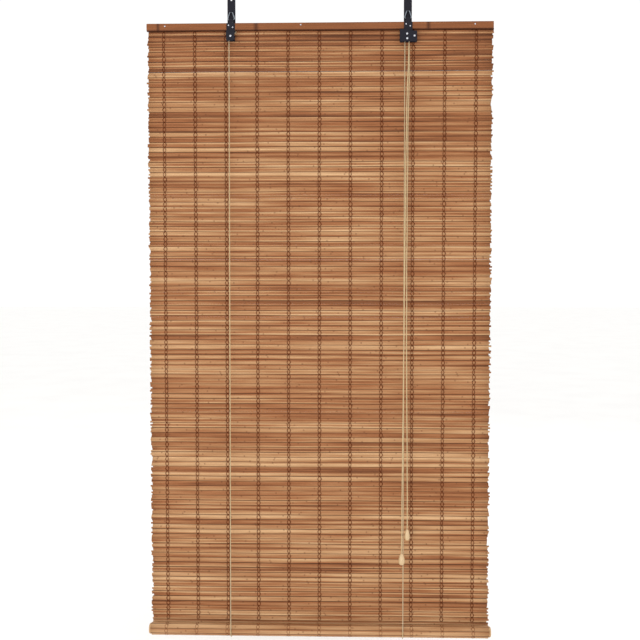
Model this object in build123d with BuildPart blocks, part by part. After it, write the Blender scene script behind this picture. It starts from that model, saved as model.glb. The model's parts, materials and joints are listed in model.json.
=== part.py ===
from build123d import *

import math
import os

# Bamboo roll-up blind: two wall hangers with wire rings, a head of two bamboo strips that grip the mat,
# a mat of slat rows with a rod wound into its foot, a pulley and a cord lock, and the cords they carry.
# Millimetres. +X is to the right seen from the room, +Y goes into the wall, +Z is up.
# The origin is the centre of the four wall screws, on the wall's face.

# Mat
MAT_WIDTH = 900.0
ROW_PITCH = 13.0
ROW_GAP = 0.5
SLATS_PER_ROW = 2
SLAT_GAP = 0.4
SLAT_THICKNESS = 1.2
HIDDEN_ROWS = 1
HANGING_ROWS = 121
MAT_DEPTH = 8.4

# Head
SCREWS_TO_RAIL = 76.0
BATTEN_HEIGHT = 20.0
BATTEN_DEPTH = 9.0
BATTEN_ROUND = 4.0
HOLLOW_HEIGHT = 9.0
HOLLOW_DEPTH = 4.0
LATH_HEIGHT = 18.0
LATH_DEPTH = 5.0
LATH_CHAMFER = 1.0
NOTCH_WIDTH = 8.0
NOTCH_LEFT_X = 13.0
NOTCH_RIGHT_X = -20.0
RAIL_PIN_R = 0.8
RAIL_PIN_HEAD_R = 1.8
RAIL_PIN_INSET = 48.0
RAIL_PIN_DROP = 8.0
MID_PIN_X = -48.0
MID_PIN_DROP = 6.5
RAIL_PIN_DEPTH = 4.0

# Foot
ROD_R = 13.8
ROD_OVERHANG = 4.0
ROD_CHAMFER = 1.5
TURN_FACETS = 8
TURN_THICKNESS = 1.5
TURN_GAP = 0.3
TURN_CORNER = 3.0

# Hangers and rings
HANGER_SPACING = 460.0
STRAP_WIDTH = 21.0
STRAP_THICKNESS = 1.5
STRAP_ABOVE = 11.0
STRAP_CORNER = 2.5
STRAP_BELOW_RAIL = 6.0
SCREW_SPACING = 26.0
SCREW_HOLE_R = 2.25
HOOK_WIDTH = 3.4
HOOK_RISE = 5.0
HOOK_BEND = 1.4
WIRE_R = 1.2
RING_HALF_BASE = 9.5
RING_HALF_TOP = 3.4
RING_HEIGHT = 18.0
RING_BEND = 2.4
EYE_CLEARANCE = 0.08
EYE_ABOVE_RAIL = 11.0
NECK_ABOVE_RAIL = 3.5
NECK_BEND_RISE = 2.0
NECK_BEND = 1.6

# Brackets
SHEET = 1.2
BRACKET_WIDTH = 22.0
PLATE_CORNER = 2.0
PLATE_TOP_DROP = 1.0
COVER_CORNER = 6.0
EYE_WIDTH = 12.0
NAIL_R = 0.8
NAIL_HEAD_R = 1.7
NAIL_HEAD_HEIGHT = 0.8
NAIL_DEPTH = 3.0
DRILL_CLEARANCE = 5.0
NAIL_OFFSETS = [(-5.5, -7.0), (5.0, -12.0)]
HOUSING_DEPTH = 8.4
WINDOW_SIZE = 7.0
WINDOW_RISE = 2.0
LEFT_WINDOW_X = 8.0
RIGHT_WINDOW_X = -16.0

# Left pulley
PULLEY_BOTTOM = 48.5
PULLEY_FOLD = 25.0
PULLEY_AXLE_DROP = 36.5
PULLEY_PITCH_R = 4.5
PULLEY_X = 0.5
PULLEY_FLANGE_R = 5.8

# Right cord lock
LOCK_WIDTH = 44.0
LOCK_TOP = 22.0
LOCK_STEP = 4.5
LOCK_BOTTOM = 54.0
LOCK_ROLLER_X = -3.5
LOCK_ROLLER_DROP = 34.0
LOCK_PITCH_R = 5.3
LOCK_FLANGE_R = 6.4
GUIDE_X = -3.2
GUIDE_DROP = 46.0
GUIDE_R = 2.9
CAM_X = 15.6
CAM_DROP = 39.4
CAM_HUB_R = 4.6
CAM_REACH = 12.2
CAM_TEETH = 4
CAM_TIP_ANGLE = 8.0
CAM_TOOTH_ANGLE = 6.0
CAM_TOOTH_DEPTH = 0.9
CAM_LOWER_ANGLE = -80.0
CAM_UPPER_ANGLE = 95.0

# Rivets and rollers
RIVET_R = 1.5
RIVET_HEAD_R = 2.6
RIVET_HEAD_HEIGHT = 1.0
RIVET_ROUND = 0.6
FLANGE_THICKNESS = 1.0
GROOVE_CLEARANCE = 0.15
RUNNING_CLEARANCE = 0.08
SIDE_CLEARANCE = 0.5

# Cords
CORD_R = 1.2
CORD_SIDE_GAP = 0.1
CORD_MAT_GAP = 0.3
HOLLOW_CORD_GAP = 0.5
LIFT_ANCHOR_DEPTH = 8.0
CORD_END_GAP = 0.1
BEND_MARGIN = 0.02
CORNER_BEND = 3.0
LEAN_START = 5.0
UNDER_BATTEN = 3.0
LEFT_LEAD_IN = -2.0
RIGHT_LEAD_IN = 2.5

# Pull cords' drop below the lock, and the knobs on their ends
UPPER_KNOB_DROP = 1265.0
LOWER_KNOB_DROP = 1328.0
UPPER_KNOB_HEIGHT = 29.0
LOWER_KNOB_HEIGHT = 30.0
UPPER_KNOB_R = 7.0
LOWER_KNOB_R = 8.3
KNOB_NECK_R = 3.2
# the knobs' outline: shares of the widest radius, and of the height down from the top
KNOB_OUTLINE = [(0.78, 0.28), (1.0, 0.62), (0.8, 0.9), (0.35, 1.0)]

# Heights and depths that follow from the sizes above
rail_top = -SCREWS_TO_RAIL
rail_foot = rail_top - BATTEN_HEIGHT
mat_back = -MAT_DEPTH
mat_front = mat_back - SLAT_THICKNESS
batten_front = mat_front - BATTEN_DEPTH
tail_top = rail_foot - HANGING_ROWS * ROW_PITCH
turn_apothem = ROD_R + TURN_THICKNESS
roll_y = mat_front - TURN_GAP - turn_apothem
loop_back = mat_back + CORD_R + CORD_MAT_GAP
roll_z = tail_top - ROW_PITCH / 2
eye_z = rail_top + EYE_ABOVE_RAIL
eye_y = (mat_back + mat_front) / 2
plate_back = batten_front
plate_front = plate_back - SHEET
cover_back = plate_front - HOUSING_DEPTH
cover_front = cover_back - SHEET
left_x = -HANGER_SPACING / 2
right_x = HANGER_SPACING / 2
pulley_x = left_x + PULLEY_X
pulley_z = rail_top - PULLEY_AXLE_DROP
lock_roller_x = right_x + LOCK_ROLLER_X
lock_roller_z = rail_top - LOCK_ROLLER_DROP
guide_x = right_x + GUIDE_X
guide_z = rail_top - GUIDE_DROP
cam_x = right_x + CAM_X
cam_z = rail_top - CAM_DROP
lock_foot = rail_top - LOCK_BOTTOM
cord_plane = (plate_front + cover_back) / 2
near_cord_y = cord_plane + CORD_R + CORD_SIDE_GAP / 2
far_cord_y = cord_plane - CORD_R - CORD_SIDE_GAP / 2
lift_left_x = pulley_x - PULLEY_PITCH_R
lift_right_x = lock_roller_x - LOCK_PITCH_R
pull_x = lock_roller_x + LOCK_PITCH_R


os.makedirs("parts", exist_ok=True)


def save(piece, name):
    """Labels a finished piece and writes its STEP file."""
    piece.part.label = name
    export_step(piece.part, f"parts/{name}.step")


def bend_radii(points):
    """Each corner's radius on a free cord: 0.45 of its shorter run, over the tangent of half the turn."""
    radii = []
    for before, here, after in zip(points, points[1:], points[2:]):
        run_in = Vector(*here) - Vector(*before)
        run_out = Vector(*after) - Vector(*here)
        half_turn = math.radians(run_in.get_angle(run_out)) / 2
        radii.append(0.45 * min(run_in.length, run_out.length) / math.tan(half_turn))
    return radii


def cord_tube(points, radii):
    """A cord along straight runs joined by tangent arcs."""
    with BuildPart() as tube:
        with BuildLine():
            path = FilletPolyline(*points, radius=radii)
        with BuildSketch(Plane(origin=path @ 0, z_dir=path % 0)):
            Circle(CORD_R)
        sweep()
    drawn = path.length * math.pi * CORD_R**2
    print(f"cord of {path.length:.1f} mm, volume {tube.part.volume / drawn:.4f} of its path's")
    return tube


# ---------------------------------------------------------------- mat


def mat_rows(first_row, rows, slats=SLATS_PER_ROW):
    """Rows of thin slats, a pair to a row unless fewer are asked for, counted down from the mat's top."""
    top = rail_foot + HIDDEN_ROWS * ROW_PITCH
    slat_height = (ROW_PITCH - ROW_GAP - (SLATS_PER_ROW - 1) * SLAT_GAP) / SLATS_PER_ROW
    centres = []
    for row in range(first_row, first_row + rows):
        for slat in range(slats):
            z = top - row * ROW_PITCH - ROW_GAP / 2 - slat_height / 2 - slat * (slat_height + SLAT_GAP)
            centres.append((0, (mat_back + mat_front) / 2, z))
    with BuildPart() as mat:
        with Locations(*centres):
            Box(MAT_WIDTH, SLAT_THICKNESS, slat_height)
    return mat


def pin_places():
    """Where the batten's pins stand: one near each end, and one left of the middle."""
    reach = MAT_WIDTH / 2 - RAIL_PIN_INSET
    end_z = rail_top - RAIL_PIN_DROP
    return [(-reach, end_z), (MID_PIN_X, rail_top - MID_PIN_DROP), (reach, end_z)]


def nail_places():
    """Where the brackets' nails stand."""
    return [(x + dx, rail_top + dz) for x in (left_x, right_x) for dx, dz in NAIL_OFFSETS]


def drill(places, radius, deep_to):
    """Holes along Y at these places, from the room side to the depth given."""
    front = cover_front - DRILL_CLEARANCE
    with BuildSketch(Plane.XZ.offset(-front)) as holes:
        with Locations(*places):
            Circle(radius)
    extrude(holes.sketch, amount=-(deep_to - front), mode=Mode.SUBTRACT)


pins_reach = mat_back + RAIL_PIN_DEPTH
nails_reach = mat_back + NAIL_DEPTH
mat_row_count = HIDDEN_ROWS + HANGING_ROWS
with BuildPart() as mat:
    add(mat_rows(0, mat_row_count).part)
    add(mat_rows(mat_row_count, rows=1, slats=1).part)
    drill(pin_places(), RAIL_PIN_R, pins_reach)
    drill(nail_places(), NAIL_R, nails_reach)
save(mat, "mat")

# ---------------------------------------------------------------- foot

with BuildPart() as bottom_rod:
    with BuildSketch(Plane.YZ.offset(-MAT_WIDTH / 2 - ROD_OVERHANG)):
        with Locations((roll_y, roll_z)):
            Circle(ROD_R)
    extrude(amount=MAT_WIDTH + 2 * ROD_OVERHANG)
    chamfer(bottom_rod.edges().filter_by(GeomType.CIRCLE), ROD_CHAMFER)
save(bottom_rod, "bottom_rod")

with BuildPart() as wound_turn:
    with BuildSketch(Plane.YZ.offset(-MAT_WIDTH / 2)) as turn_section:
        with Locations((roll_y, roll_z)):
            RegularPolygon(turn_apothem, TURN_FACETS, major_radius=False, rotation=180 / TURN_FACETS)
            fillet(turn_section.vertices(), TURN_CORNER)
            Circle(ROD_R, mode=Mode.SUBTRACT)
    extrude(amount=MAT_WIDTH)
save(wound_turn, "wound_turn")

# ---------------------------------------------------------------- head strips

batten_mid = (rail_top + rail_foot) / 2
notch_left = left_x + NOTCH_LEFT_X
notch_right = right_x + NOTCH_RIGHT_X

with BuildPart() as head_batten:
    with BuildSketch(Plane.YZ.offset(-MAT_WIDTH / 2)) as batten_section:
        with Locations(((mat_front + batten_front) / 2, batten_mid)):
            Rectangle(BATTEN_DEPTH, BATTEN_HEIGHT)
        fillet(batten_section.vertices().sort_by(Axis.X)[:2], BATTEN_ROUND)
        with Locations((mat_front, batten_mid)):
            Ellipse(HOLLOW_DEPTH, HOLLOW_HEIGHT / 2, mode=Mode.SUBTRACT)
    extrude(amount=MAT_WIDTH)
    with BuildSketch(Plane.XZ.offset(-mat_front)):
        notch_z = batten_mid - BATTEN_HEIGHT / 4
        with Locations((notch_left, notch_z), (notch_right, notch_z)):
            Rectangle(NOTCH_WIDTH, BATTEN_HEIGHT / 2)
    extrude(amount=HOLLOW_DEPTH, mode=Mode.SUBTRACT)
    drill(pin_places(), RAIL_PIN_R, pins_reach)
    drill(nail_places(), NAIL_R, nails_reach)
save(head_batten, "head_batten")

with BuildPart() as back_lath:
    with Locations((0, mat_back + LATH_DEPTH / 2, batten_mid)):
        Box(MAT_WIDTH, LATH_DEPTH, LATH_HEIGHT)
    chamfer(back_lath.edges().filter_by(Axis.X).group_by(Axis.Y)[-1], LATH_CHAMFER)
    with BuildSketch(Plane.XY.offset(batten_mid - LATH_HEIGHT / 2)):
        with Locations((lift_left_x, loop_back), (lift_right_x, loop_back)):
            Circle(CORD_R)
    extrude(amount=LIFT_ANCHOR_DEPTH, mode=Mode.SUBTRACT)
    drill(pin_places(), RAIL_PIN_R, pins_reach)
    drill(nail_places(), NAIL_R, nails_reach)
save(back_lath, "back_lath")


def nails(places, radius, head_radius, head_seat, point):
    """Round-headed nails along Y, heads towards the room."""
    with BuildPart() as group:
        for x, z in places:
            with BuildSketch(Plane.XZ.offset(-point)):
                with Locations((x, z)):
                    Circle(radius)
            extrude(amount=point - head_seat)
            with BuildSketch(Plane.XZ.offset(-head_seat)):
                with Locations((x, z)):
                    Circle(head_radius)
            extrude(amount=NAIL_HEAD_HEIGHT)
    return group


save(nails(pin_places(), RAIL_PIN_R, RAIL_PIN_HEAD_R, batten_front, pins_reach), "batten_pins")
save(nails(nail_places(), NAIL_R, NAIL_HEAD_R, plate_front, nails_reach), "bracket_nails")

# ---------------------------------------------------------------- wall hangers

hook_wire_z = eye_z + RING_HEIGHT
hook_seat = hook_wire_z - WIRE_R
strap_top = SCREW_SPACING / 2 + STRAP_ABOVE
strap_foot = rail_top - STRAP_BELOW_RAIL
hook_tip = eye_y - WIRE_R - SHEET


# flat steel straps, each with two screw holes and a narrow tongue bent out into an upturned hook
tongue = [
    (-STRAP_THICKNESS / 2, hook_seat - SHEET / 2),
    (hook_tip - SHEET / 2, hook_seat - SHEET / 2),
    (hook_tip - SHEET / 2, hook_seat + HOOK_RISE),
]
with BuildPart() as hanger_straps:
    for x in (left_x, right_x):
        with BuildSketch(Plane.XZ):
            with Locations((x, (strap_top + strap_foot) / 2)):
                RectangleRounded(STRAP_WIDTH, strap_top - strap_foot, STRAP_CORNER)
            with Locations((x, SCREW_SPACING / 2), (x, -SCREW_SPACING / 2)):
                Circle(SCREW_HOLE_R, mode=Mode.SUBTRACT)
        extrude(amount=STRAP_THICKNESS)
        with BuildSketch(Plane.YZ.offset(x - HOOK_WIDTH / 2)):
            with BuildLine():
                FilletPolyline(*tongue, radius=HOOK_BEND)
            trace(line_width=SHEET)
        extrude(amount=HOOK_WIDTH)
save(hanger_straps, "hanger_straps")

# wires bent into a blunt triangle and closed, hanging by the top from the hooks
with BuildPart() as hanging_rings:
    for x in (left_x, right_x):
        with BuildLine(Plane.XZ.offset(-eye_y)):
            wire = FilletPolyline(
                (x - RING_HALF_BASE, eye_z),
                (x + RING_HALF_BASE, eye_z),
                (x + RING_HALF_TOP, hook_wire_z),
                (x - RING_HALF_TOP, hook_wire_z),
                radius=RING_BEND,
                close=True,
            )
        with BuildSketch(Plane(origin=wire @ 0, z_dir=wire % 0)):
            Circle(WIRE_R)
        sweep(path=wire)
save(hanging_rings, "hanging_rings")

# ---------------------------------------------------------------- brackets


def eye_and_plate(x, plate_foot):
    """The sheet that both brackets share: a rolled eye, a neck over the batten and a plate down its face."""
    mid = plate_back - SHEET / 2
    eye_inner = WIRE_R + EYE_CLEARANCE
    plate_top = rail_top - PLATE_TOP_DROP
    with BuildSketch(Plane.YZ.offset(x - EYE_WIDTH / 2)) as neck:
        with Locations((eye_y, eye_z)):
            Circle(eye_inner + SHEET)
        with BuildLine():
            FilletPolyline(
                (eye_y - eye_inner - SHEET / 2, eye_z - SHEET / 2),
                (eye_y - eye_inner - SHEET / 2, rail_top + NECK_ABOVE_RAIL),
                (mid, rail_top + NECK_BEND_RISE),
                (mid, rail_top - NECK_BEND_RISE),
                radius=NECK_BEND,
            )
        trace(line_width=SHEET)
        with Locations((eye_y, eye_z)):
            Circle(eye_inner, mode=Mode.SUBTRACT)
    extrude(neck.sketch, amount=EYE_WIDTH)
    with BuildSketch(Plane.XZ.offset(-plate_back)) as face:
        with Locations((x, (plate_top + plate_foot) / 2)):
            Rectangle(BRACKET_WIDTH, plate_top - plate_foot)
        fillet(face.vertices().group_by(Axis.Y)[-1], PLATE_CORNER)
    extrude(face.sketch, amount=SHEET)


def nail_holes(x):
    """Holes in a bracket for its own nails."""
    places = [(x + dx, rail_top + dz) for dx, dz in NAIL_OFFSETS]
    drill(places, NAIL_R, nails_reach)


pulley_foot = rail_top - PULLEY_BOTTOM
fold_top = rail_top - PULLEY_FOLD
window_left = left_x + LEFT_WINDOW_X
window_left_z = pulley_z + PULLEY_PITCH_R + WINDOW_RISE

with BuildPart() as pulley_bracket:
    eye_and_plate(left_x, pulley_foot)
    with BuildSketch(Plane.XZ.offset(-plate_front)):
        with Locations((window_left, window_left_z)):
            Rectangle(WINDOW_SIZE, WINDOW_SIZE)
    extrude(amount=-SHEET, mode=Mode.SUBTRACT)
    with BuildSketch(Plane.XZ.offset(-cover_back)) as cover_face:
        with Locations((left_x, (fold_top + pulley_foot) / 2)):
            Rectangle(BRACKET_WIDTH, fold_top - pulley_foot)
        fillet(cover_face.vertices().group_by(Axis.Y)[0], COVER_CORNER)
    extrude(amount=SHEET)
    with Locations((left_x, plate_front - HOUSING_DEPTH / 2, fold_top - SHEET / 2)):
        Box(BRACKET_WIDTH, HOUSING_DEPTH, SHEET)
    drill([(pulley_x, pulley_z)], RIVET_R, plate_back)
    nail_holes(left_x)
save(pulley_bracket, "pulley_bracket")

lock_top = rail_top - LOCK_TOP
step_x = right_x - LOCK_WIDTH / 4
window_right = right_x + RIGHT_WINDOW_X
window_right_z = lock_roller_z + LOCK_PITCH_R + WINDOW_RISE

with BuildPart() as lock_bracket:
    eye_and_plate(right_x, lock_top - LOCK_STEP)
    with BuildSketch(Plane.XZ.offset(-plate_back)) as lock_back:
        with Locations((right_x, (lock_top - LOCK_STEP + lock_foot) / 2)):
            Rectangle(LOCK_WIDTH, lock_top - LOCK_STEP - lock_foot)
        with Locations((step_x, lock_top - LOCK_STEP / 2)):
            Rectangle(LOCK_WIDTH / 2, LOCK_STEP)
    extrude(amount=SHEET)
    with BuildSketch(Plane.XZ.offset(-plate_front)):
        with Locations((window_right, window_right_z)):
            Rectangle(WINDOW_SIZE, WINDOW_SIZE)
    extrude(amount=-SHEET, mode=Mode.SUBTRACT)
    with BuildSketch(Plane.XZ.offset(-cover_back)) as lock_face:
        with Locations((right_x, (lock_top - LOCK_STEP + lock_foot) / 2)):
            Rectangle(LOCK_WIDTH, lock_top - LOCK_STEP - lock_foot)
        with Locations((step_x, lock_top - LOCK_STEP / 2)):
            Rectangle(LOCK_WIDTH / 2, LOCK_STEP)
        fillet(lock_face.vertices().group_by(Axis.Y)[0], PLATE_CORNER)
    extrude(amount=SHEET)
    with Locations((step_x, plate_front - HOUSING_DEPTH / 2, lock_top - SHEET / 2)):
        Box(LOCK_WIDTH / 2, HOUSING_DEPTH, SHEET)
    drill([(lock_roller_x, lock_roller_z), (guide_x, guide_z), (cam_x, cam_z)], RIVET_R, plate_back)
    nail_holes(right_x)
save(lock_bracket, "lock_bracket")

with BuildPart() as axle_rivets:
    for x, z in [(pulley_x, pulley_z), (lock_roller_x, lock_roller_z), (guide_x, guide_z), (cam_x, cam_z)]:
        with BuildSketch(Plane.XZ.offset(-plate_back)):
            with Locations((x, z)):
                Circle(RIVET_R)
        extrude(amount=plate_back - cover_front)
        for seat, side in ((plate_back, -1), (cover_front, 1)):
            with BuildSketch(Plane.XZ.offset(-seat)):
                with Locations((x, z)):
                    Circle(RIVET_HEAD_R)
            extrude(amount=side * RIVET_HEAD_HEIGHT)
    fillet(axle_rivets.edges().filter_by(GeomType.CIRCLE).group_by(Axis.Y)[0], RIVET_ROUND)
save(axle_rivets, "axle_rivets")

# ---------------------------------------------------------------- rollers and cam

roller_width = HOUSING_DEPTH - 2 * SIDE_CLEARANCE


def roller(x, z, groove_r, flange_r):
    """A spool-shaped roller on a rivet along Y."""
    with BuildPart() as spool:
        with BuildSketch(Plane.XZ.offset(-(plate_front - SIDE_CLEARANCE))):
            with Locations((x, z)):
                Circle(flange_r)
        extrude(amount=roller_width)
        with BuildSketch(Plane.XZ.offset(-(plate_front - SIDE_CLEARANCE - FLANGE_THICKNESS))):
            with Locations((x, z)):
                Circle(flange_r + FLANGE_THICKNESS)
                Circle(groove_r, mode=Mode.SUBTRACT)
        extrude(amount=roller_width - 2 * FLANGE_THICKNESS, mode=Mode.SUBTRACT)
        with BuildSketch(Plane.XZ.offset(-(plate_front - SIDE_CLEARANCE))):
            with Locations((x, z)):
                Circle(RIVET_R + RUNNING_CLEARANCE)
        extrude(amount=roller_width, mode=Mode.SUBTRACT)
    return spool


groove_depth = CORD_R + GROOVE_CLEARANCE
save(roller(pulley_x, pulley_z, PULLEY_PITCH_R - groove_depth, PULLEY_FLANGE_R), "pulley_roller")
save(roller(lock_roller_x, lock_roller_z, LOCK_PITCH_R - groove_depth, LOCK_FLANGE_R), "lock_roller")

with BuildPart() as guide_roller:
    with BuildSketch(Plane.XZ.offset(-(plate_front - SIDE_CLEARANCE))):
        with Locations((guide_x, guide_z)):
            Circle(GUIDE_R)
            Circle(RIVET_R + RUNNING_CLEARANCE, mode=Mode.SUBTRACT)
    extrude(amount=roller_width)
save(guide_roller, "guide_roller")


def cam_point(reach, angle):
    """A point of the cam's outline, by its distance from the pivot and its angle below the level."""
    return (cam_x - reach * math.cos(math.radians(angle)), cam_z - reach * math.sin(math.radians(angle)))


teeth = []
for tooth in range(CAM_TEETH):
    angle = CAM_TIP_ANGLE - CAM_TOOTH_ANGLE * (CAM_TEETH / 2 - tooth)
    teeth.append(cam_point(CAM_REACH, angle))
    teeth.append(cam_point(CAM_REACH - CAM_TOOTH_DEPTH, angle + CAM_TOOTH_ANGLE / 2))

with BuildPart() as locking_cam:
    with BuildSketch(Plane.XZ.offset(-(plate_front - SIDE_CLEARANCE))):
        with BuildLine():
            Polyline(
                cam_point(CAM_HUB_R, CAM_LOWER_ANGLE),
                *teeth,
                cam_point(CAM_HUB_R, CAM_UPPER_ANGLE),
                close=True,
            )
        make_face()
        with Locations((cam_x, cam_z)):
            Circle(CAM_HUB_R)
            Circle(RIVET_R + RUNNING_CLEARANCE, mode=Mode.SUBTRACT)
    extrude(amount=roller_width)
save(locking_cam, "locking_cam")

# ---------------------------------------------------------------- cords that the blind holds

back_offset = loop_back - roll_y
front_y = roll_y - back_offset
loop_foot = roll_z - back_offset


def straight_cord(start, end):
    """A taut run of cord between two points."""
    run = Vector(*end) - Vector(*start)
    with BuildPart() as tube:
        with BuildSketch(Plane(origin=start, z_dir=run)):
            Circle(CORD_R)
        extrude(amount=run.length)
    return tube


# Each lift cord runs from its hole in the back lath down the mat's back, round under the roll,
# and up the front to its roller.
lift_places = [(lift_left_x, pulley_z), (lift_right_x, lock_roller_z)]
loop_start = roll_z
loop_end = roll_z + LEAN_START
under_roll = back_offset - 5 * BEND_MARGIN
with BuildPart() as lift_cords_back:
    for x, top_z in lift_places:
        anchor = (x, loop_back, batten_mid - LATH_HEIGHT / 2 + LIFT_ANCHOR_DEPTH)
        add(straight_cord(anchor, (x, loop_back, loop_start + CORD_END_GAP)).part)
save(lift_cords_back, "lift_cords_back")

with BuildPart() as lift_cord_loops:
    for x, top_z in lift_places:
        turn = [
            (x, loop_back, loop_start),
            (x, loop_back, loop_foot),
            (x, front_y, loop_foot),
            (x, front_y, loop_end),
        ]
        add(cord_tube(turn, [under_roll, under_roll]).part)
save(lift_cord_loops, "lift_cord_loops")

with BuildPart() as lift_cords_front:
    for x, top_z in lift_places:
        foot = (x, front_y, loop_end + CORD_END_GAP)
        add(straight_cord(foot, (x, near_cord_y, top_z - CORD_END_GAP)).part)
save(lift_cords_front, "lift_cords_front")

# The left cord goes over its pulley, back through a window into the batten's hollow and along to the lock;
# the right cord goes up over the lock's roller. Both come down past the cam.
hidden_y = mat_front - CORD_R - HOLLOW_CORD_GAP
left_over = pulley_z + PULLEY_PITCH_R
right_over = lock_roller_z + LOCK_PITCH_R
under_batten = rail_foot - UNDER_BATTEN
crossing = [
    (lift_left_x, near_cord_y, pulley_z),
    (lift_left_x, near_cord_y, left_over),
    (window_left + LEFT_LEAD_IN, near_cord_y, left_over),
    (notch_left, hidden_y, under_batten),
    (notch_left, hidden_y, batten_mid),
    (notch_right, hidden_y, batten_mid),
    (notch_right, hidden_y, under_batten),
    (window_right + RIGHT_LEAD_IN, far_cord_y, right_over),
    (pull_x, far_cord_y, right_over),
    (pull_x, far_cord_y, lock_foot),
]
turning = [
    (lift_right_x, near_cord_y, lock_roller_z),
    (lift_right_x, near_cord_y, right_over),
    (pull_x, near_cord_y, right_over),
    (pull_x, near_cord_y, lock_foot),
]
over_pulley = PULLEY_PITCH_R - BEND_MARGIN
over_roller = LOCK_PITCH_R - BEND_MARGIN
with BuildPart() as head_cords:
    add(cord_tube(crossing, [over_pulley, *[CORNER_BEND] * 6, over_roller]).part)
    add(cord_tube(turning, [over_roller, over_roller]).part)
save(head_cords, "head_cords")

# ---------------------------------------------------------------- pull cords and knobs


def pull_route(start_y, places):
    """A pull cord's points, from the lock's foot down through the places given."""
    return [(pull_x, start_y, lock_foot - CORD_END_GAP)] + places


upper_knob_top = lock_foot - UPPER_KNOB_DROP
lower_knob_top = lock_foot - LOWER_KNOB_DROP
upper_places = [
    (233.2, -24.0, -190.0),
    (231.9, -26.5, -262.0),
    (229.3, -27.5, -350.0),
    (229.8, -29.6, -440.0),
    (228.0, -31.9, -530.0),
    (228.6, -33.4, -620.0),
    (227.3, -35.6, -712.0),
    (228.1, -37.1, -800.0),
    (227.4, -39.3, -890.0),
    (228.6, -40.8, -980.0),
    (228.8, -43.1, -1070.0),
    (230.1, -44.7, -1155.0),
    (230.3, -47.0, -1240.0),
    (231.2, -48.8, -1322.0),
]
lower_places = [
    (230.6, -28.5, -185.0),
    (226.9, -30.6, -262.0),
    (225.8, -33.2, -350.0),
    (223.9, -34.6, -440.0),
    (224.0, -37.2, -530.0),
    (222.4, -38.8, -620.0),
    (222.6, -41.3, -712.0),
    (221.1, -42.9, -800.0),
    (221.2, -45.2, -890.0),
    (219.6, -46.5, -980.0),
    (219.5, -48.8, -1070.0),
    (218.1, -50.1, -1155.0),
    (217.8, -52.3, -1235.0),
    (216.8, -53.5, -1315.0),
    (216.8, -54.6, -1390.0),
]
upper_route = pull_route(near_cord_y, upper_places + [(231.0, -50.0, upper_knob_top)])
lower_route = pull_route(far_cord_y, lower_places + [(216.5, -55.0, lower_knob_top)])
for name, route in (("pull_cord_short", upper_route), ("pull_cord_long", lower_route)):
    radii = bend_radii(route)
    print(name, "tightest bend", round(min(radii)))
    save(cord_tube(route, radii), name)


def knob(top, height, widest):
    """A turned wooden acorn, hanging from the end of a cord that is knotted inside it."""
    x, y, z = top
    z -= CORD_END_GAP
    outline = [(x + share * widest, z - drop * height) for share, drop in KNOB_OUTLINE]
    with BuildPart() as acorn:
        with BuildSketch(Plane.XZ.offset(-y)):
            with BuildLine():
                Polyline((x, z - height), (x, z), (x + KNOB_NECK_R, z))
                Spline((x + KNOB_NECK_R, z), *outline)
                Line(outline[-1], (x, z - height))
            make_face()
        revolve(axis=Axis((x, y, z), (0, 0, 1)))
    return acorn


save(knob(upper_route[-1], UPPER_KNOB_HEIGHT, UPPER_KNOB_R), "knob_upper")
save(knob(lower_route[-1], LOWER_KNOB_HEIGHT, LOWER_KNOB_R), "knob_lower")
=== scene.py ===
import json
import math

import bmesh
import bpy
from bpy.props import FloatProperty, FloatVectorProperty, IntProperty, PointerProperty
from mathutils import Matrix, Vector


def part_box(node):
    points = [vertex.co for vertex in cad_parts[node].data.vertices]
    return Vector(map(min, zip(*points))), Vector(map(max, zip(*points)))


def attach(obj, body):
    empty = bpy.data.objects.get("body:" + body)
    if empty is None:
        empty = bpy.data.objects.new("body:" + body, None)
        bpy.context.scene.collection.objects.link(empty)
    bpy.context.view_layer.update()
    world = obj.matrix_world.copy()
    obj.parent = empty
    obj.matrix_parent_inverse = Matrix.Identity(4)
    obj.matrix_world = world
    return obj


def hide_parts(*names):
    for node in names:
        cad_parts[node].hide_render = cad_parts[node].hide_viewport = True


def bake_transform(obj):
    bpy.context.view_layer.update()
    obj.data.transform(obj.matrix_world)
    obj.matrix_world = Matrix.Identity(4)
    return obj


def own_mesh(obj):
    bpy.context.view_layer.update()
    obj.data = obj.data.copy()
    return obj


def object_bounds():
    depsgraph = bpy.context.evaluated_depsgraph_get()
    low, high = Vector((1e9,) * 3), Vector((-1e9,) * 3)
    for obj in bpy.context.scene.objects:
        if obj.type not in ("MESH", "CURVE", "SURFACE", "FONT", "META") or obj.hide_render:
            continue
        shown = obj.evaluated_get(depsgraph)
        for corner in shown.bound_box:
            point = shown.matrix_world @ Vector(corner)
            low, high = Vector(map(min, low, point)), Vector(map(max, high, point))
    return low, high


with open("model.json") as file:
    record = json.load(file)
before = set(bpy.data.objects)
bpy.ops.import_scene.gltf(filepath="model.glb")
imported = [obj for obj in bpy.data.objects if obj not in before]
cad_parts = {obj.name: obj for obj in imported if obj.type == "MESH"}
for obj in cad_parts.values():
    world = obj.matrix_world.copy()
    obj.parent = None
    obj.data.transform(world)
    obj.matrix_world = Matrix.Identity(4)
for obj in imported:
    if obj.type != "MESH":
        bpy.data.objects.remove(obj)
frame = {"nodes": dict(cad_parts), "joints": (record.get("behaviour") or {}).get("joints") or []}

bl_info = {
    "name": "Bamboo roll-up blind",
    "version": (1, 0, 0),
    "blender": (4, 5, 0),
    "location": "View3D > Sidebar > Blind",
    "description": "Builds a woven split-bamboo roll-up blind with its cords, head and fittings",
    "category": "Object",
}

# Metres, in the CAD frame: +X to the right seen from the room, +Y into the wall, +Z up.
cad_box = [list(map(float, corner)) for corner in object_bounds()]

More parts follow.
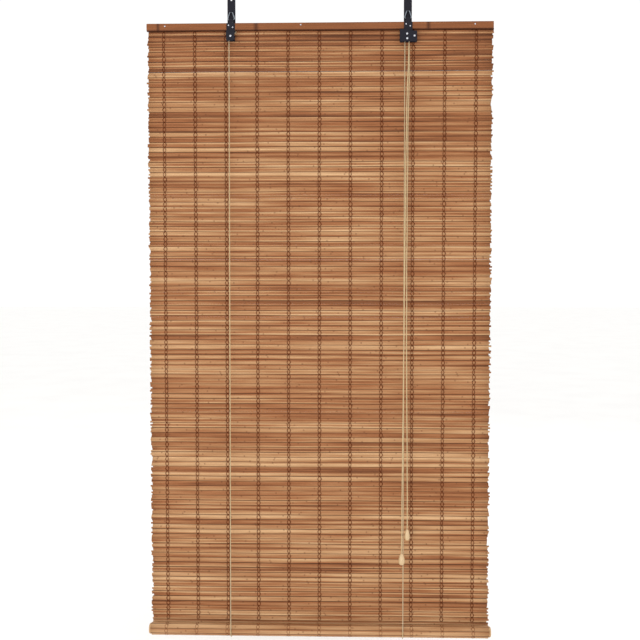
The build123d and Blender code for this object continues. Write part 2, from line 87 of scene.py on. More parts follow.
mat_low, mat_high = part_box("mat")
turn_low, turn_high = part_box("wound_turn")
batten_low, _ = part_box("head_batten")
back_cord_low, back_cord_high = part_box("lift_cords_back")
front_cord_low, front_cord_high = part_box("lift_cords_front")
_, loop_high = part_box("lift_cord_loops")
upper_knob_low, upper_knob_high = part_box("knob_upper")
lower_knob_low, lower_knob_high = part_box("knob_lower")

CORD_R = 0.0012
LEFT_CORD_SHORTER = 0.0025
CORD_BEND_STEPS = 24
ROLL_Y = (turn_low[1] + turn_high[1]) / 2
ROLL_Z = (turn_low[2] + turn_high[2]) / 2
TURN_APOTHEM = (turn_high[2] - turn_low[2]) / 2
RAIL_FOOT = batten_low[2]
MAT_DEPTH = (mat_low[1] + mat_high[1]) / 2
RAISED_GAP = 0.0003
THREADS_ABOVE_ROLL = 0.0025
SLATS_BEHIND_MIDDLE = 0.0001
ROLL_FACETS = 8
ROLL_CORNER_PROUD = 0.0009
ROLL_SEED_STEP = 4
ORIGIN = (0.0, 0.0, 0.0)
RISE = next(joint for joint in frame["joints"] if joint["name"] == "roll_up")["range_m"][1]


def linear(hexed):
    """An sRGB hex colour as linear red, green and blue."""
    parts = [int(hexed[i : i + 2], 16) / 255 for i in (1, 3, 5)]
    return tuple(p / 12.92 if p <= 0.04045 else ((p + 0.055) / 1.055) ** 2.4 for p in parts)


def colour(name, description, hexed):
    """A colour property with this default."""
    return FloatVectorProperty(
        name=name, description=description, default=linear(hexed), subtype="COLOR", size=3, min=0.0, max=1.0
    )


def length(name, description, default):
    """A size property in metres."""
    return FloatProperty(name=name, description=description, default=default, min=0.0, unit="LENGTH", precision=5)


class BlindMatSettings(bpy.types.PropertyGroup):
    """Sizes and colours of the woven mat."""

    rows: IntProperty(name="Rows", description="Slat rows below the head, with the one it grips", default=122, min=1)
    sticks: IntProperty(name="Sticks", description="Split sticks side by side in a row", default=3, min=1)
    pitch: length("Row pitch", "Distance from one row to the next", 0.013)
    thickness: length("Thickness", "Thickness of a stick", 0.0012)
    end_scatter: length("End scatter", "How far stick ends stand out of line", 0.0028)
    bow: length("Bow", "How far a row wanders up and down", 0.0011)
    columns: IntProperty(name="Thread columns", description="Warp threads across the mat", default=11, min=1)
    column_pitch: length("Thread pitch", "Distance between two warp threads", 0.0814)
    loop_half_width: length("Loop half width", "Half the width of a thread's loop round a row", 0.0041)
    thread_radius: length("Thread radius", "Radius of a warp thread", 0.00072)
    seed: IntProperty(name="Seed", description="Seed of the sticks' variation", default=7)
    dark: colour("Dark stick", "Darkest bamboo", "#643A20")
    reddish: colour("Reddish stick", "Reddish bamboo", "#935C37")
    middle: colour("Middle stick", "Most of the bamboo", "#AB7E56")
    light: colour("Light stick", "Palest bamboo", "#CDA67C")
    gap: colour("Gap", "Shaded edge of a row", "#341706")
    thread: colour("Thread", "Warp thread", "#5A240A")


class BlindFinishSettings(bpy.types.PropertyGroup):
    """Colours of the head, the fittings and the cords."""

    strip: colour("Head strip", "Stained bamboo of the head", "#85502E")
    # also gives the painted shade along the head strip's lower edge
    strip_joints_and_painted_shade: colour("Head strip nodes", "Darker joints of the stained bamboo", "#3A1B0C")
    rod: colour("Rod", "Turned wood of the bottom rod", "#B98D61")
    steel: colour("Painted steel", "Dark painted fittings", "#0C0B17")
    wire: colour("Wire", "Bent wire rings", "#8F979F")
    rivet: colour("Rivets", "Bright rivets and nails", "#E2E3EA")
    roller: colour("Rollers", "Moulded rollers", "#CFCBBE")
    cam: colour("Cam", "Cast locking cam", "#7E8087")
    cord: colour("Cord", "Twisted cord", "#D6BE90")
    cord_shade: colour("Cord shade", "Grooves between the cord's strands", "#A78C60")
    knob: colour("Knob", "Varnished turned knobs", "#D3B88F")
    knob_grain: colour("Knob grain", "Grain of the knobs", "#B8976A")
    floor: colour("Floor", "Pale studio floor", "#FCFBF9")


class BlindSettings(bpy.types.PropertyGroup):
    """Everything a user would change."""

    mat: PointerProperty(type=BlindMatSettings)
    finish: PointerProperty(type=BlindFinishSettings)


# ---------------------------------------------------------------- nodes


def add(tree, kind, inputs=None, out=0, stops=None, **settings):
    """Adds a node, sets its properties, sets or links its inputs, and returns one of its outputs."""
    made = tree.nodes.new(kind)
    for key, value in settings.items():
        setattr(made, key, value)
    for key, value in (inputs or {}).items():
        if isinstance(value, bpy.types.NodeSocket):
            tree.links.new(value, made.inputs[key])
        else:
            made.inputs[key].default_value = value
    if stops:
        elements = made.color_ramp.elements
        while len(elements) < len(stops):
            elements.new(0.5)
        for element, (place, value) in zip(elements, stops):
            element.position = place
            element.color = (*value[:3], 1.0)
    return made.outputs[out] if len(made.outputs) else made


def finish_of(name, **shader):
    """A new node material: its tree, and its shader with these inputs set."""
    material = bpy.data.materials.new(name)
    material.use_nodes = True
    tree = material.node_tree
    tree.nodes.clear()
    bsdf = add(tree, "ShaderNodeBsdfPrincipled")
    for key, value in shader.items():
        bsdf.node.inputs[key.replace("_", " ")].default_value = value
    add(tree, "ShaderNodeOutputMaterial", {"Surface": bsdf})
    return material, tree, bsdf.node


def stretched(tree, scale, source="Object"):
    """Object or UV coordinates scaled by repeats for each metre."""
    where = add(tree, "ShaderNodeTexCoord", out=source)
    return add(tree, "ShaderNodeMapping", {"Vector": where, "Scale": scale})


def toned(tree, shader, source, stops):
    """Colours the shader from a value, through a ramp with these stops."""
    ramp = add(tree, "ShaderNodeValToRGB", {0: source}, stops=stops)
    tree.links.new(ramp, shader.inputs["Base Color"])


def placed_along(tree, axis):
    """How far along an axis of the object each point lies, in metres."""
    return add(tree, "ShaderNodeSeparateXYZ", {0: add(tree, "ShaderNodeTexCoord", out="Object")}, out=axis)


def bumped(tree, shader, height, distance, strength=1.0):
    """Feeds a height in metres to the shader's normal."""
    normal = add(tree, "ShaderNodeBump", {"Height": height, "Distance": distance, "Strength": strength})
    tree.links.new(normal, shader.inputs["Normal"])


def rgba(value):
    """A colour setting with alpha."""
    return (value[0], value[1], value[2], 1.0)


def split_bamboo(name, settings):
    """Split bamboo, dried and left bare: pale to reddish sticks with long fibres, satin where the skin is on."""
    material, tree, shader = finish_of(name, Roughness=0.6, Specular_IOR_Level=0.22)
    stick = add(tree, "ShaderNodeAttribute", attribute_name="tone", out="Fac")
    row = add(tree, "ShaderNodeAttribute", attribute_name="row_tone", out="Fac")
    place = add(tree, "ShaderNodeAttribute", attribute_name="place", out="Fac")
    across = add(tree, "ShaderNodeAttribute", attribute_name="across", out="Fac")
    # patches 0.3 m long and a stick high, where the culm's colour changes along its length
    patched = stretched(tree, (4.0, 40.0, 90.0))
    patches = add(tree, "ShaderNodeTexNoise", {"Vector": patched, "Scale": 1.0, "Detail": 2.0})
    # fibres 0.25 mm apart that run for about 60 mm
    fibres = add(
        tree,
        "ShaderNodeTexNoise",
        {"Vector": stretched(tree, (16.0, 900.0, 1900.0)), "Scale": 1.0, "Detail": 3.0, "Roughness": 0.6},
    )
    tone = 0.5
    for source, weight in ((stick, 0.3), (row, 0.2), (patches, 0.75), (fibres, 0.5)):
        part = add(tree, "ShaderNodeMath", {0: source, 1: weight, 2: -weight / 2}, operation="MULTIPLY_ADD")
        tone = add(tree, "ShaderNodeMath", {0: part, 1: tone}, operation="ADD")
    # the upper rows are darker: most above a height of -0.15 m, fading out by -0.6 m
    darker_upper_rows = add(
        tree,
        "ShaderNodeMapRange",
        {"Value": placed_along(tree, 2), "From Min": -0.6, "From Max": -0.15, "To Min": 0.0, "To Max": -0.11},
    )
    tone = add(tree, "ShaderNodeMath", {0: tone, 1: darker_upper_rows}, operation="ADD")
    ramp = add(
        tree,
        "ShaderNodeValToRGB",
        {0: tone},
        stops=[(0.12, settings.dark), (0.36, settings.reddish), (0.56, settings.middle), (0.86, settings.light)],
    )
    # the joints of the culm, as thin darker lines about 0.3 m apart, at another place on each stick
    shifted = add(tree, "ShaderNodeMath", {0: stick, 1: 7.3}, operation="MULTIPLY")
    joint = placed_along(tree, 0)
    for step, second, third in (
        ("MULTIPLY_ADD", 3.2, shifted),
        ("FRACT", 0.0, 0.0),
        ("COMPARE", 0.5, 0.006),
        ("MULTIPLY", 0.45, 0.0),
    ):
        joint = add(tree, "ShaderNodeMath", {0: joint, 1: second, 2: third}, operation=step)
    marked = add(tree, "ShaderNodeMix", {0: joint, 6: ramp, 7: rgba(settings.dark)}, out=2, data_type="RGBA")
    # shade in the gap between two rows, from where the stick lies in its row
    edge = add(tree, "ShaderNodeMath", {0: across, 1: place}, operation="ADD")
    edge = add(tree, "ShaderNodeMath", {0: edge, 1: row_middle(settings)}, operation="SUBTRACT")
    edge = add(tree, "ShaderNodeMath", {0: edge}, operation="ABSOLUTE")
    half = settings.sticks / 2
    shade = add(
        tree,
        "ShaderNodeMapRange",
        {"Value": edge, "From Min": half - 0.3, "From Max": half - 0.1, "To Min": 0.0, "To Max": 0.95},
    )
    shaded = add(tree, "ShaderNodeMix", {0: shade, 6: marked, 7: rgba(settings.gap)}, out=2, data_type="RGBA")
    tree.links.new(shaded, shader.inputs["Base Color"])
    rough = add(tree, "ShaderNodeMapRange", {"Value": fibres, "To Min": 0.5, "To Max": 0.75})
    tree.links.new(rough, shader.inputs["Roughness"])
    bumped(tree, shader, fibres, 0.00025, 0.7)
    return material


def row_middle(settings):
    """The middle of a row, counted in sticks."""
    return (settings.sticks - 1) / 2


def cotton_thread(name, value):
    """Spun cotton thread, dyed dark: matt and linty, with hardly any shine."""
    material, tree, shader = finish_of(name, Roughness=0.95, Specular_IOR_Level=0.08)
    # lint 0.5 mm across
    lint = add(tree, "ShaderNodeTexNoise", {"Vector": stretched(tree, (2000.0, 2000.0, 2000.0)), "Scale": 1.0})
    toned(tree, shader, lint, [(0.3, [c * 0.6 for c in value]), (0.75, [c * 1.5 for c in value])])
    bumped(tree, shader, lint, 0.0002)
    return material


def stained_bamboo(name, finish):
    """Planed bamboo strip, stained and waxed: fine straight fibres, broken by the culm's darker joints, and painted
    shade along its lower edge.
    """
    material, tree, shader = finish_of(name, Roughness=0.6, Specular_IOR_Level=0.2)
    # fibres 0.6 mm apart that run for about 0.1 m
    fibres = add(
        tree,
        "ShaderNodeTexNoise",
        {"Vector": stretched(tree, (9.0, 800.0, 800.0)), "Scale": 1.0, "Detail": 4.0, "Roughness": 0.65},
    )
    deep, pale = ([c * share for c in finish.strip] for share in (0.55, 1.35))
    painted = add(tree, "ShaderNodeValToRGB", {0: fibres}, stops=[(0.25, deep), (0.55, finish.strip), (0.85, pale)])
    along = placed_along(tree, 0)
    for place, half in ((-0.42, 0.006), (-0.164, 0.009), (0.282, 0.008)):
        away = add(tree, "ShaderNodeMath", {0: along, 1: place}, operation="SUBTRACT")
        away = add(tree, "ShaderNodeMath", {0: away}, operation="ABSOLUTE")
        ends = {"From Min": 0.0, "From Max": half, "To Min": 0.8, "To Max": 0.0}
        mark = add(tree, "ShaderNodeMapRange", {"Value": away, **ends})
        painted = add(tree, "ShaderNodeMix", {0: mark, 6: painted, 7: rgba(finish.strip_joints_and_painted_shade)}, out=2, data_type="RGBA")
    # painted shade: the strip's lower edge is darkened for the shadow under the strip
    ends = {"From Min": RAIL_FOOT + 0.0012, "From Max": RAIL_FOOT + 0.0032, "To Min": 0.85, "To Max": 0.0}
    painted_shade_under_strip = add(tree, "ShaderNodeMapRange", {"Value": placed_along(tree, 2), **ends})
    painted = add(tree, "ShaderNodeMix", {0: painted_shade_under_strip, 6: painted, 7: rgba(finish.strip_joints_and_painted_shade)}, out=2, data_type="RGBA")
    tree.links.new(painted, shader.inputs["Base Color"])
    bumped(tree, shader, fibres, 0.0003, 0.6)
    return material


def turned_wood(name, value, grain, rings, roughness, coat):
    """Turned softwood: growth rings on the ends and long grain on the side, under thin varnish where it has any."""
    material, tree, shader = finish_of(name, Roughness=roughness, Coat_Weight=coat, Coat_Roughness=0.2)
    wave = add(
        tree,
        "ShaderNodeTexWave",
        {"Vector": stretched(tree, rings), "Scale": 1.0, "Distortion": 2.5, "Detail": 2.0, "Detail Scale": 1.5},
        wave_type="RINGS",
        rings_direction="Z" if rings[2] < rings[0] else "X",
    )
    toned(tree, shader, wave, [(0.2, value), (0.9, grain)])
    bumped(tree, shader, wave, 0.0001, 0.4)
    return material


def painted_steel(name, value):
    """Pressed steel sheet under thin dark stove paint: smooth, slightly wavy, with blue-grey reflections painted into
    its colour.
    """
    material, tree, shader = finish_of(
        name, Roughness=0.5, Specular_IOR_Level=0.22, Coat_Weight=0.05, Coat_Roughness=0.25
    )
    # orange peel of 2 mm
    pitted = stretched(tree, (500.0, 500.0, 500.0))
    peel_and_painted_reflection = add(tree, "ShaderNodeTexNoise", {"Vector": pitted, "Scale": 1.0, "Detail": 3.0})
    # painted reflection: blue-grey flecks on the crests of the paint's texture
    toned(tree, shader, peel_and_painted_reflection, [(0.35, value), (0.68, [c * 1.5 for c in value]), (0.8, linear("#2B3140"))])
    bumped(tree, shader, peel_and_painted_reflection, 0.00012, 0.5)
    return material


def bare_metal(name, value, roughness, grain):
    """Bare steel or zinc as drawn or cast: metallic, with fine scratches or grit of the given size."""
    material, tree, shader = finish_of(name, Metallic=1.0, Roughness=roughness)
    grit = add(tree, "ShaderNodeTexNoise", {"Vector": stretched(tree, grain), "Scale": 1.0, "Detail": 2.0})
    toned(tree, shader, grit, [(0.3, [c * 0.7 for c in value]), (0.7, value)])
    rough = add(tree, "ShaderNodeMapRange", {"Value": grit, "To Min": roughness * 0.7, "To Max": roughness * 1.4})
    tree.links.new(rough, shader.inputs["Roughness"])
    bumped(tree, shader, grit, 0.00006, 0.6)
    return material


def moulded_nylon(name, value):
    """Moulded nylon: cloudy off-white, with a fine mould texture."""
    material, tree, shader = finish_of(name, Roughness=0.45, IOR=1.53, Subsurface_Weight=0.08, Subsurface_Scale=0.002)
    cloud = add(tree, "ShaderNodeTexNoise", {"Vector": stretched(tree, (350.0, 350.0, 350.0)), "Scale": 1.0})
    toned(tree, shader, cloud, [(0.3, [c * 0.8 for c in value]), (0.7, value)])
    bumped(tree, shader, cloud, 0.0001, 0.4)
    return material


def twisted_cord(name, finish, source):
    """Three-strand cotton cord, undyed: soft, matt, with slanting grooves 1.6 mm apart."""
    material, tree, shader = finish_of(name, Roughness=0.85, Sheen_Weight=0.35, Sheen_Roughness=0.5)
    scale = (3.0, 630.0, 1.0) if source == "UV" else (630.0, 630.0, 630.0)
    wave = add(
        tree,
        "ShaderNodeTexWave",
        {"Vector": stretched(tree, scale, source), "Scale": 1.0, "Distortion": 0.6, "Detail": 1.0},
        wave_type="BANDS",
        bands_direction="DIAGONAL",
    )
    toned(tree, shader, wave, [(0.1, finish.cord_shade), (0.6, finish.cord)])
    bumped(tree, shader, wave, 0.0003, 0.8)
    return material


def pale_floor(name, value):
    """Painted studio floor: matt, nearly white, with a trace of roller texture."""
    material, tree, shader = finish_of(name, Roughness=0.8)
    cloud = add(tree, "ShaderNodeTexNoise", {"Vector": stretched(tree, (3.0, 3.0, 3.0)), "Scale": 1.0, "Detail": 2.0})
    toned(tree, shader, cloud, [(0.3, [c * 0.97 for c in value]), (0.7, value)])
    return material


made_finishes = {}


def finish_named(name, build, *details):
    """A finish, made the first time that it is asked for."""
    if name not in made_finishes:
        made_finishes[name] = build(name, *details)
    return made_finishes[name]


# ---------------------------------------------------------------- meshes


def placed(name, mesh, material=None):
    """A mesh as an object at the origin of the scene."""
    piece = bpy.data.objects.new(name, mesh)
    bpy.context.scene.collection.objects.link(piece)
    if material:
        mesh.materials.append(material)
    return piece


def built(name, shape, material):
    """A finished bmesh as a piece."""
    mesh = bpy.data.meshes.new(name)
    shape.to_mesh(mesh)
    shape.free()
    return placed(name, mesh, material)


def tube(name, paths, radius, material, sides=8):
    """Closed tubes along lists of points. Their UV map has turns round the tube and metres along it."""
    shape = bmesh.new()
    uv = shape.loops.layers.uv.new("UVMap")
    for path in paths:
        points = [Vector(p) for p in path]
        runs = [b - a for a, b in zip(points, points[1:])]
        side = Vector((1.0, 0.0, 0.0))
        rings, travelled, distance = [], [], 0.0
        for i, point in enumerate(points):
            ahead = runs[min(i, len(runs) - 1)].normalized()
            behind = runs[max(i - 1, 0)].normalized()
            along = (ahead + behind).normalized()
            side = (side - along * side.dot(along)).normalized()
            other = along.cross(side)
            ring = []
            for k in range(sides):
                turn = 2 * math.pi * k / sides
                ring.append(shape.verts.new(point + (side * math.cos(turn) + other * math.sin(turn)) * radius))
            rings.append(ring)
            travelled.append(distance)
            if i < len(runs):
                distance += runs[i].length
        for i in range(len(rings) - 1):
            for k in range(sides):
                nxt = (k + 1) % sides
                face = shape.faces.new((rings[i][k], rings[i][nxt], rings[i + 1][nxt], rings[i + 1][k]))
                face.smooth = True
                corners = ((k, i), (k + 1, i), (k + 1, i + 1), (k, i + 1))
                for loop, (round_place, ring_place) in zip(face.loops, corners):
                    loop[uv].uv = (round_place / sides, travelled[ring_place])
        shape.faces.new(reversed(rings[0]))
        shape.faces.new(rings[-1])
    return built(name, shape, material)


def lathe(name, outline, axis, material, steps=40):
    """A turned solid from (radius, height) points, about an upright axis at (x, y)."""
    shape = bmesh.new()
    rings = []
    for radius, height in outline:
        if radius == 0.0:
            rings.append([shape.verts.new((axis[0], axis[1], height))])
            continue
        turns = [2 * math.pi * k / steps for k in range(steps)]
        rings.append(
            [shape.verts.new((axis[0] + radius * math.cos(t), axis[1] + radius * math.sin(t), height)) for t in turns]
        )
    for above, below in zip(rings, rings[1:]):
        for k in range(steps):
            nxt = (k + 1) % steps
            corners = [above[k % len(above)], below[k % len(below)], below[nxt % len(below)], above[nxt % len(above)]]
            # at a pole two corners are the same point
            shape.faces.new(list(dict.fromkeys(corners))).smooth = True
    bmesh.ops.recalc_face_normals(shape, faces=shape.faces)
    return built(name, shape, material)


# ---------------------------------------------------------------- geometry nodes

KINDS = {int: "NodeSocketInt", float: "NodeSocketFloat", bpy.types.Material: "NodeSocketMaterial"}


def geometry_tree(name, values):
    """An empty geometry tree with one named input for each value, and its group input's outputs."""
    tree = bpy.data.node_groups.new(name, "GeometryNodeTree")
    tree.interface.new_socket("Geometry", in_out="OUTPUT", socket_type="NodeSocketGeometry")
    for label, value in values.items():
        tree.interface.new_socket(label, in_out="INPUT", socket_type=KINDS[type(value)])
    return tree, add(tree, "NodeGroupInput").node.outputs


def grown(name, tree, values):
    """Runs a tree with these input values, and keeps the result as a plain mesh piece."""
    piece = placed(name, bpy.data.meshes.new(name))
    modifier = piece.modifiers.new("grow", "NODES")
    modifier.node_group = tree
    for item in tree.interface.items_tree:
        if item.in_out == "INPUT":
            modifier[item.identifier] = values[item.name]
    depsgraph = bpy.context.evaluated_depsgraph_get()
    mesh = bpy.data.meshes.new_from_object(
        piece.evaluated_get(depsgraph), preserve_all_data_layers=True, depsgraph=depsgraph
    )
    piece.modifiers.remove(modifier)
    piece.data = mesh
    mesh.name = name
    if not len(mesh.polygons):
        raise RuntimeError(f"{name} grew nothing")
    return piece


def split_stick(tree, given, height):
    """One split stick along X: an eight-sided bar that knows how far across itself each point lies."""
    measures = {"Vertices": 8, "Side Segments": 20, "Radius": 0.54, "Depth": 1.0}
    bar = add(tree, "GeometryNodeMeshCylinder", measures, fill_type="NGON")
    sides = bar.node.outputs["Side"]
    smooth = add(tree, "GeometryNodeSetShadeSmooth", {"Geometry": bar, "Selection": sides, "Shade Smooth": True})
    # a sixteenth of a turn brings one of the eight sides to the front
    flat_front = add(tree, "GeometryNodeTransform", {"Geometry": smooth, "Rotation": (0.0, 0.0, math.pi / 8)})
    laid = add(tree, "GeometryNodeTransform", {"Geometry": flat_front, "Rotation": (0.0, math.pi / 2, 0.0)})
    where = add(tree, "ShaderNodeSeparateXYZ", {0: add(tree, "GeometryNodeInputPosition")}, out=2)
    known = add(
        tree, "GeometryNodeStoreNamedAttribute", {"Geometry": laid, "Name": "across", "Value": where}, data_type="FLOAT"
    )
    size = add(tree, "ShaderNodeCombineXYZ", {0: given["Width"], 1: given["Thickness"], 2: height})
    return add(tree, "GeometryNodeTransform", {"Geometry": known, "Scale": size})


def numbered(tree, given, rows):
    """Which row each stick belongs to, its place in the row, a stick's height, and how many sticks there are."""
    index = add(tree, "GeometryNodeInputIndex")
    count = add(tree, "ShaderNodeMath", {0: rows, 1: given["Sticks"]}, operation="MULTIPLY")
    height = add(tree, "ShaderNodeMath", {0: given["Pitch"], 1: given["Sticks"]}, operation="DIVIDE")
    share = add(tree, "ShaderNodeMath", {0: index, 1: given["Sticks"]}, operation="DIVIDE")
    row = add(tree, "ShaderNodeMath", {0: share}, operation="FLOOR")
    place = add(tree, "ShaderNodeMath", {0: index, 1: given["Sticks"]}, operation="MODULO")
    return index, row, place, height, add(tree, "GeometryNodeMeshLine", {"Count": count, "Offset": ORIGIN})


def varied(tree, points, stick, seed, row, place, rotation):
    """Sticks on points, each with its own size and tone, and the tone of its row."""
    # its own seed, so that a short stick isn't always the one that has slipped to the left
    size_seed = add(tree, "ShaderNodeMath", {0: seed, 1: 11.0}, operation="ADD")
    share = add(
        tree,
        "FunctionNodeRandomValue",
        {0: (0.994, 0.88, 1.02), 1: (1.0, 1.0, 1.15), "Seed": size_seed},
        data_type="FLOAT_VECTOR",
    )
    given = {"Points": points, "Instance": stick, "Scale": share, "Rotation": rotation}
    laid = add(tree, "GeometryNodeInstanceOnPoints", given)
    own = add(tree, "FunctionNodeRandomValue", {2: 0.0, 3: 1.0, "Seed": seed}, out=1)
    rows = add(tree, "FunctionNodeRandomValue", {2: 0.05, 3: 0.95, "ID": row, "Seed": seed}, out=1)
    for label, value in (("tone", own), ("row_tone", rows), ("place", place)):
        laid = add(
            tree,
            "GeometryNodeStoreNamedAttribute",
            {"Geometry": laid, "Name": label, "Value": value},
            data_type="FLOAT",
            domain="INSTANCE",
        )
    return add(tree, "GeometryNodeRealizeInstances", {"Geometry": laid})


def bowed(tree, geometry, bow):
    """Moves a mat's points up and down a little, more slowly along a row than from row to row."""
    at = add(tree, "GeometryNodeInputPosition")
    where = add(tree, "ShaderNodeVectorMath", {0: at, 1: (2.6, 0.0, 11.0)}, operation="MULTIPLY")
    noise = add(tree, "ShaderNodeTexNoise", {"Vector": where, "Scale": 1.0, "Detail": 1.0})
    # times four, because the noise seldom strays more than a quarter from its middle
    rise = noise
    for step, other in (("SUBTRACT", 0.5), ("MULTIPLY", bow), ("MULTIPLY", 4.0)):
        rise = add(tree, "ShaderNodeMath", {0: rise, 1: other}, operation=step)
    offset = add(tree, "ShaderNodeCombineXYZ", {2: rise})
    return add(tree, "GeometryNodeSetPosition", {"Geometry": geometry, "Offset": offset})


def ending(tree, geometry, material):
    """Sets the material and links the tree's result."""
    painted = add(tree, "GeometryNodeSetMaterial", {"Geometry": geometry, "Material": material})
    add(tree, "NodeGroupOutput", {0: painted})


def slat_rows_tree(values):
    """Rows of sticks laid one under another: index to row, and place in the row."""
    tree, given = geometry_tree("slat_rows", values)
    index, row, place, height, points = numbered(tree, given, given["Rows"])
    # counted from the row's foot, as the height across a stick is
    last = row_middle(bpy.context.scene.blind.mat) * 2
    place = add(tree, "ShaderNodeMath", {0: last, 1: place}, operation="SUBTRACT")
    middle = add(tree, "ShaderNodeMath", {0: index, 1: 0.5}, operation="ADD")
    drop = add(tree, "ShaderNodeMath", {0: middle, 1: height}, operation="MULTIPLY")
    z = add(tree, "ShaderNodeMath", {0: given["Top"], 1: drop}, operation="SUBTRACT")
    spot = add(tree, "ShaderNodeCombineXYZ", {1: given["Depth"], 2: z})
    unit = add(
        tree,
        "FunctionNodeRandomValue",
        {0: (-1.0, -1.0, -1.0), 1: (1.0, 1.0, 1.0), "Seed": given["Seed"]},
        data_type="FLOAT_VECTOR",
    )
    spread = add(tree, "ShaderNodeCombineXYZ", {0: given["End Scatter"], 1: 0.00008, 2: 0.00022})
    shift = add(tree, "ShaderNodeVectorMath", {0: unit, 1: spread}, operation="MULTIPLY")
    points = add(tree, "GeometryNodeSetPosition", {"Geometry": points, "Position": spot, "Offset": shift})
    mat = varied(tree, points, split_stick(tree, given, height), given["Seed"], row, place, ORIGIN)
    ending(tree, bowed(tree, mat, given["Bow"]), given["Finish"])
    return tree


def wound_rows_tree(values):
    """Rows of sticks laid flat round a rod, one row on each facet."""
    tree, given = geometry_tree("wound_rows", values)
    _, row, place, height, points = numbered(tree, given, given["Facets"])
    turn = add(tree, "ShaderNodeMath", {0: row, 1: given["Facets"]}, operation="DIVIDE")
    turn = add(tree, "ShaderNodeMath", {0: turn, 1: 2 * math.pi}, operation="MULTIPLY")
    middle = row_middle(bpy.context.scene.blind.mat)
    side = add(tree, "ShaderNodeMath", {0: place, 1: middle}, operation="SUBTRACT")
    side = add(tree, "ShaderNodeMath", {0: side, 1: height}, operation="MULTIPLY")
    flat = add(tree, "ShaderNodeCombineXYZ", {1: given["Apothem"], 2: side})
    spot = add(tree, "ShaderNodeVectorRotate", {"Vector": flat, "Angle": turn}, rotation_type="X_AXIS")
    centre = add(tree, "ShaderNodeCombineXYZ", {1: given["Centre Y"], 2: given["Centre Z"]})
    points = add(tree, "GeometryNodeSetPosition", {"Geometry": points, "Position": spot, "Offset": centre})
    rotation = add(tree, "ShaderNodeCombineXYZ", {0: turn})
    roll = varied(tree, points, split_stick(tree, given, height), given["Seed"], row, place, rotation)
    ending(tree, roll, given["Finish"])
    return tree


def thread_round(tree, curve, given):
    """The thread itself, along a curve and its mirror image, which cross between the rows."""
    mirrored = add(tree, "GeometryNodeTransform", {"Geometry": curve, "Scale": (-1.0, 1.0, 1.0)})
    both = add(tree, "GeometryNodeJoinGeometry", {0: curve})
    tree.links.new(mirrored, both.node.inputs[0])
    section = add(tree, "GeometryNodeCurvePrimitiveCircle", {"Resolution": 4, "Radius": given["Thread Radius"]})
    thread = add(tree, "GeometryNodeCurveToMesh", {"Curve": both, "Profile Curve": section, "Fill Caps": True})
    return add(tree, "GeometryNodeSetShadeSmooth", {"Geometry": thread, "Shade Smooth": True})


def column_place(tree, given, column):
    """How far to the right of the mat's middle a column of thread hangs."""
    middle = add(tree, "ShaderNodeMath", {0: given["Columns"], 1: 1.0}, operation="SUBTRACT")
    middle = add(tree, "ShaderNodeMath", {0: middle, 1: 2.0}, operation="DIVIDE")
    column = add(tree, "ShaderNodeMath", {0: column, 1: middle}, operation="SUBTRACT")
    return add(tree, "ShaderNodeMath", {0: column, 1: given["Column Pitch"]}, operation="MULTIPLY")


def loop_columns_tree(values):
    """Thread loops round every row at every column, on one face of the mat."""
    tree, given = geometry_tree("loop_columns", values)
    line = add(tree, "GeometryNodeCurvePrimitiveLine", {"Start": ORIGIN, "End": (0.0, 0.0, -1.0)})
    line = add(tree, "GeometryNodeResampleCurve", {"Curve": line, "Count": 7})
    share = add(tree, "GeometryNodeSplineParameter")
    turn = add(tree, "ShaderNodeMath", {0: share, 1: math.pi}, operation="MULTIPLY")
    wave = add(tree, "ShaderNodeMath", {0: turn}, operation="SINE")
    x = add(tree, "ShaderNodeMath", {0: wave, 1: given["Half Width"]}, operation="MULTIPLY")
    proud = add(tree, "ShaderNodeMath", {0: wave, 1: 2.2}, operation="MULTIPLY")
    proud = add(tree, "ShaderNodeMath", {0: proud, 1: 1.0}, operation="MINIMUM")
    y = add(tree, "ShaderNodeMath", {0: proud, 1: given["Reach"], 2: given["Depth"]}, operation="MULTIPLY_ADD")
    z = add(tree, "ShaderNodeMath", {0: share, 1: given["Row Pitch"]}, operation="MULTIPLY")
    z = add(tree, "ShaderNodeMath", {0: z, 1: -1.0}, operation="MULTIPLY")
    spot = add(tree, "ShaderNodeCombineXYZ", {0: x, 1: y, 2: z})
    strand = add(tree, "GeometryNodeSetPosition", {"Geometry": line, "Position": spot})
    loop = thread_round(tree, strand, given)
    index = add(tree, "GeometryNodeInputIndex")
    count = add(tree, "ShaderNodeMath", {0: given["Rows"], 1: given["Columns"]}, operation="MULTIPLY")
    row = add(tree, "ShaderNodeMath", {0: index, 1: given["Columns"]}, operation="DIVIDE")
    row = add(tree, "ShaderNodeMath", {0: row}, operation="FLOOR")
    column = add(tree, "ShaderNodeMath", {0: index, 1: given["Columns"]}, operation="MODULO")
    x = column_place(tree, given, column)
    drop = add(tree, "ShaderNodeMath", {0: row, 1: given["Row Pitch"]}, operation="MULTIPLY")
    z = add(tree, "ShaderNodeMath", {0: given["Top"], 1: drop}, operation="SUBTRACT")
    spot = add(tree, "ShaderNodeCombineXYZ", {0: x, 2: z})
    points = add(tree, "GeometryNodeMeshLine", {"Count": count, "Offset": ORIGIN})
    jitter = add(
        tree,
        "FunctionNodeRandomValue",
        {0: (-0.0005, 0.0, -0.0001), 1: (0.0005, 0.0, 0.0001), "Seed": given["Seed"]},
        data_type="FLOAT_VECTOR",
    )
    points = add(tree, "GeometryNodeSetPosition", {"Geometry": points, "Position": spot, "Offset": jitter})
    share = add(
        tree,
        "FunctionNodeRandomValue",
        {0: (0.78, 1.0, 1.0), 1: (1.12, 1.0, 1.0), "Seed": given["Seed"]},
        data_type="FLOAT_VECTOR",
    )
    loops = add(tree, "GeometryNodeInstanceOnPoints", {"Points": points, "Instance": loop, "Scale": share})
    loops = add(tree, "GeometryNodeRealizeInstances", {"Geometry": loops})
    ending(tree, bowed(tree, loops, given["Bow"]), given["Finish"])
    return tree


